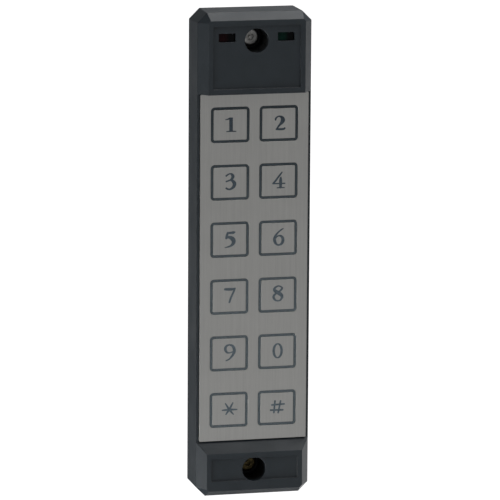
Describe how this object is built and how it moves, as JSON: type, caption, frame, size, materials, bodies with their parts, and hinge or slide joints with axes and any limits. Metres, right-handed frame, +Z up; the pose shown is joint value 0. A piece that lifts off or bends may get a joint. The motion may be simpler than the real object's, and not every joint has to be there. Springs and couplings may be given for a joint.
{
  "type": "keypad access reader",
  "caption": "Narrow wall-mounted access reader with a brushed steel keypad of square push keys between two bevelled end blocks, indicator windows and recessed fixing screws.",
  "frame": {"origin": "middle of the wall face: the rear face of the mounting plate, which lies on the wall, halfway between the two fixing screws", "axes": "+X to the right as seen from the front, +Z up along the length, +Y into the wall, so that the keys face -Y"},
  "size_m": [0.0444, 0.018, 0.1864],
  "materials": {
    "casing": "fine moulded texture, charcoal",
    "faceplate_steel": "fine brush along the length",
    "key_steel": "fine brush along the length",
    "adhesive": "dull film",
    "seal_silicone": "matte dark silicone",
    "plunger_silicone": "matte silicone",
    "board": "solder-masked glass-epoxy laminate",
    "chip_plastic": "moulded epoxy",
    "crystal_can": "bright can",
    "tantalum": "moulded epoxy",
    "beeper_case": "moulded",
    "header_plastic": "moulded nylon",
    "led_red": "tinted epoxy",
    "led_green": "tinted epoxy",
    "lens_red": "dark red tinted, unlit",
    "lens_green": "dark green tinted, unlit",
    "ferrite": "sintered",
    "copper_winding": "enamelled copper wire",
    "clip_plastic": "moulded nylon",
    "small_screws": "zinc plated",
    "cover_plastic": "moulded",
    "gasket_rubber": "die-cut foam",
    "grommet_rubber": "moulded",
    "zinc_plate": "zinc-plated sheet",
    "nut_brass": "turned",
    "security_screw_steel": "yellow-passivated zinc on steel"
  },
  "bodies": {
    "reader": {"front_housing": "casing", "keypad_faceplate": "faceplate_steel", "faceplate_adhesive": "adhesive", "key_seal_mat": "seal_silicone", "main_pcb": "board", "controller_chip": "chip_plastic", "interface_chips": "chip_plastic", "radio_chip": "chip_plastic", "crystal": "crystal_can", "capacitors": "tantalum", "beeper": "beeper_case", "cable_header": "header_plastic", "red_led": "led_red", "green_led": "led_green", "red_lens": "lens_red", "green_lens": "lens_green", "ferrite_rod": "ferrite", "antenna_coil": "copper_winding", "antenna_clips": "clip_plastic", "board_screws": "small_screws", "cover_screws": "small_screws", "inner_cover": "cover_plastic", "cover_gasket": "gasket_rubber", "cable_grommet": "grommet_rubber", "mounting_plate": "zinc_plate", "clinch_nuts": "nut_brass", "security_screws": "security_screw_steel"},
    "key_1": {"key_1_cap": "key_steel", "key_1_plunger": "plunger_silicone"},
    "key_2": {"key_2_cap": "key_steel", "key_2_plunger": "plunger_silicone"},
    "key_3": {"key_3_cap": "key_steel", "key_3_plunger": "plunger_silicone"},
    "key_4": {"key_4_cap": "key_steel", "key_4_plunger": "plunger_silicone"},
    "key_5": {"key_5_cap": "key_steel", "key_5_plunger": "plunger_silicone"},
    "key_6": {"key_6_cap": "key_steel", "key_6_plunger": "plunger_silicone"},
    "key_7": {"key_7_cap": "key_steel", "key_7_plunger": "plunger_silicone"},
    "key_8": {"key_8_cap": "key_steel", "key_8_plunger": "plunger_silicone"},
    "key_9": {"key_9_cap": "key_steel", "key_9_plunger": "plunger_silicone"},
    "key_0": {"key_0_cap": "key_steel", "key_0_plunger": "plunger_silicone"},
    "key_star": {"key_star_cap": "key_steel", "key_star_plunger": "plunger_silicone"},
    "key_hash": {"key_hash_cap": "key_steel", "key_hash_plunger": "plunger_silicone"}
  },
  "joints": [
    {"name": "key_1_press", "type": "slide", "parent": "reader", "child": "key_1", "axis": [0, 1, 0], "range_m": [0, 0.0006], "stiffness_N_per_m": 3300},
    {"name": "key_2_press", "type": "slide", "parent": "reader", "child": "key_2", "axis": [0, 1, 0], "range_m": [0, 0.0006], "stiffness_N_per_m": 3300},
    {"name": "key_3_press", "type": "slide", "parent": "reader", "child": "key_3", "axis": [0, 1, 0], "range_m": [0, 0.0006], "stiffness_N_per_m": 3300},
    {"name": "key_4_press", "type": "slide", "parent": "reader", "child": "key_4", "axis": [0, 1, 0], "range_m": [0, 0.0006], "stiffness_N_per_m": 3300},
    {"name": "key_5_press", "type": "slide", "parent": "reader", "child": "key_5", "axis": [0, 1, 0], "range_m": [0, 0.0006], "stiffness_N_per_m": 3300},
    {"name": "key_6_press", "type": "slide", "parent": "reader", "child": "key_6", "axis": [0, 1, 0], "range_m": [0, 0.0006], "stiffness_N_per_m": 3300},
    {"name": "key_7_press", "type": "slide", "parent": "reader", "child": "key_7", "axis": [0, 1, 0], "range_m": [0, 0.0006], "stiffness_N_per_m": 3300},
    {"name": "key_8_press", "type": "slide", "parent": "reader", "child": "key_8", "axis": [0, 1, 0], "range_m": [0, 0.0006], "stiffness_N_per_m": 3300},
    {"name": "key_9_press", "type": "slide", "parent": "reader", "child": "key_9", "axis": [0, 1, 0], "range_m": [0, 0.0006], "stiffness_N_per_m": 3300},
    {"name": "key_0_press", "type": "slide", "parent": "reader", "child": "key_0", "axis": [0, 1, 0], "range_m": [0, 0.0006], "stiffness_N_per_m": 3300},
    {"name": "key_star_press", "type": "slide", "parent": "reader", "child": "key_star", "axis": [0, 1, 0], "range_m": [0, 0.0006], "stiffness_N_per_m": 3300},
    {"name": "key_hash_press", "type": "slide", "parent": "reader", "child": "key_hash", "axis": [0, 1, 0], "range_m": [0, 0.0006], "stiffness_N_per_m": 3300}
  ]
}
